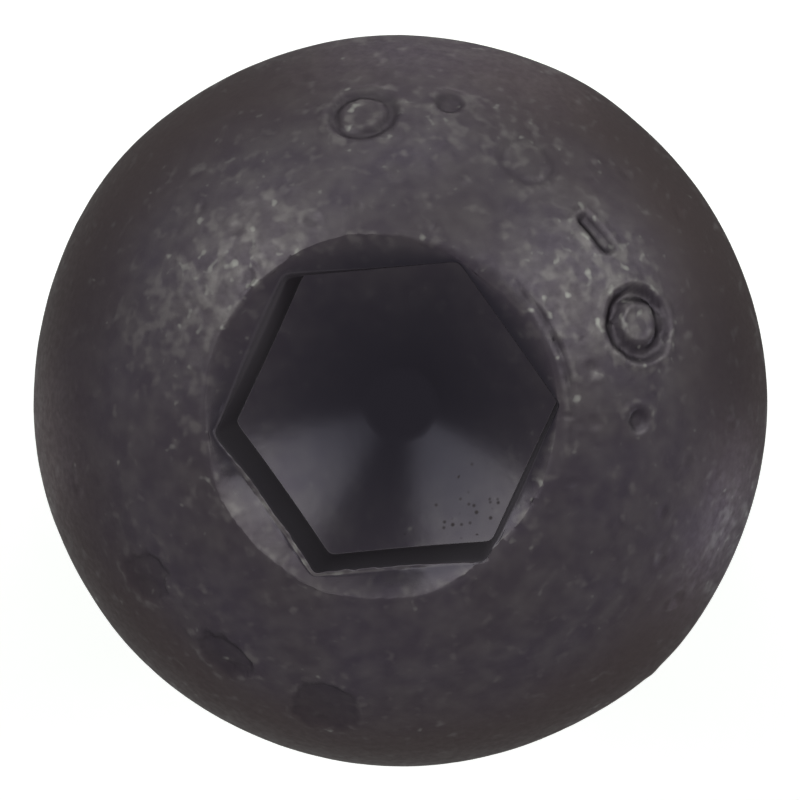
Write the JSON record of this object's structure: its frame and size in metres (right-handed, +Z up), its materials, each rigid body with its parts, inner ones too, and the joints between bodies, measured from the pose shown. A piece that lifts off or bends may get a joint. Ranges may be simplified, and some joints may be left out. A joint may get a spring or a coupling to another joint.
{
  "type": "button head socket screw",
  "caption": "Button head screw: a low domed head with a hexagon socket, a flat seat under it, and a short shank with a coarse M12 thread, in blackened alloy steel.",
  "frame": {"origin": "centre of the flat seat under the head, on the screw's axis", "axes": "+Z up the screw's axis and out of the socket, with the shank below in -Z; two of the socket's flats face along Y and two of its corners lie along X"},
  "size_m": [0.021, 0.021, 0.0226],
  "materials": {
    "blackened_steel": "cold forged alloy steel, hardened and black oxided, lightly oiled satin, worn bright in flecks round the mouth of the socket"
  },
  "bodies": {
    "root": {"button_head_screw": "blackened_steel"}
  },
  "joints": []
}
